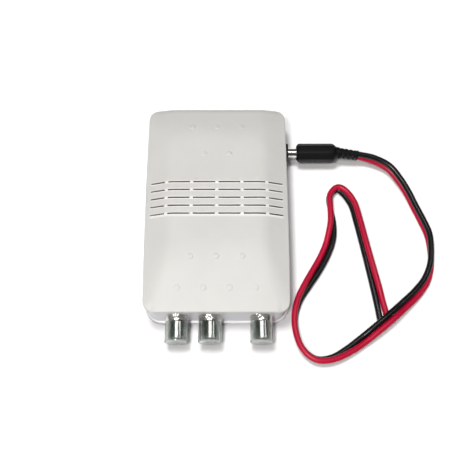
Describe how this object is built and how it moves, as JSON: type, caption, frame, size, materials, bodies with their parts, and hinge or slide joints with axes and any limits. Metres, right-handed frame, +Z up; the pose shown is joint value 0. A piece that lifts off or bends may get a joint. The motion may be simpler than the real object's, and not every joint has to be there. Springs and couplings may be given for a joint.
{
  "type": "tv signal amplifier",
  "caption": "Flat TV aerial amplifier: crowned, vented plastic case with capped coaxial sockets along one end and a red and black power lead plugged into its side.",
  "frame": {"origin": "centre of the tray's underside on the floor", "axes": "+Z up through the crown, -Y out of the coaxial sockets, +X out of the power socket"},
  "size_m": [0.1651, 0.1455, 0.03],
  "materials": {
    "case_plastic": "satin moulded plastic, warm light grey",
    "tray_plastic": "moulded plastic, light grey",
    "nickel": "bright nickel plate",
    "zinc_steel": "zinc plated steel",
    "brass": "spring brass",
    "tinned_copper": "tinned",
    "white_insulator": "white moulded plastic",
    "clear_plastic": "clear soft plastic",
    "black_plastic": "black moulded plastic",
    "plug_rubber": "black moulded soft plastic",
    "red_pvc": "satin red insulation",
    "black_pvc": "satin black insulation",
    "board_green": "solder resist",
    "tinplate": "bright tinplate",
    "capacitor_sleeve": "shrink sleeve",
    "chip_black": "moulded epoxy",
    "ferrite": "sintered ferrite",
    "chip_ceramic": "fired ceramic"
  },
  "bodies": {
    "case": {"top_cover": "case_plastic", "base_tray": "tray_plastic", "case_screws": "zinc_steel", "connector_washers": "nickel", "connector_nuts": "nickel", "dc_jack_housing": "black_plastic", "dc_jack_pin": "nickel", "dc_jack_spring": "brass", "dc_jack_terminals": "tinned_copper", "circuit_board": "board_green", "board_screws": "zinc_steel", "shield_fence": "tinplate", "shield_lid": "tinplate", "electrolytic_capacitors": "capacitor_sleeve", "amplifier_chips": "chip_black", "voltage_regulator": "chip_black", "power_choke": "ferrite", "splitter_core": "ferrite", "chip_components": "chip_ceramic", "protection_diode": "chip_black", "f_body_left": "nickel", "f_insulator_left": "white_insulator", "f_contact_left": "brass", "f_body_middle": "nickel", "f_insulator_middle": "white_insulator", "f_contact_middle": "brass", "f_body_right": "nickel", "f_insulator_right": "white_insulator", "f_contact_right": "brass"},
    "cap_left": {"dust_cap_left": "clear_plastic"},
    "cap_middle": {"dust_cap_middle": "clear_plastic"},
    "cap_right": {"dust_cap_right": "clear_plastic"},
    "power_plug": {"plug_sleeve": "nickel", "plug_insulator": "black_plastic", "plug_inner_contact": "brass", "plug_shell": "plug_rubber", "lead_red": "red_pvc", "lead_black": "black_pvc", "lead_red_tip": "tinned_copper", "lead_black_tip": "tinned_copper"}
  },
  "joints": [
    {"name": "cap_pull_left", "type": "slide", "parent": "case", "child": "cap_left", "axis": [0, -1, 0], "range_m": [0, 0.014]},
    {"name": "cap_pull_middle", "type": "slide", "parent": "case", "child": "cap_middle", "axis": [0, -1, 0], "range_m": [0, 0.014]},
    {"name": "cap_pull_right", "type": "slide", "parent": "case", "child": "cap_right", "axis": [0, -1, 0], "range_m": [0, 0.014]},
    {"name": "plug_pull", "type": "slide", "parent": "case", "child": "power_plug", "axis": [1, 0, 0], "range_m": [0, 0.012]}
  ]
}
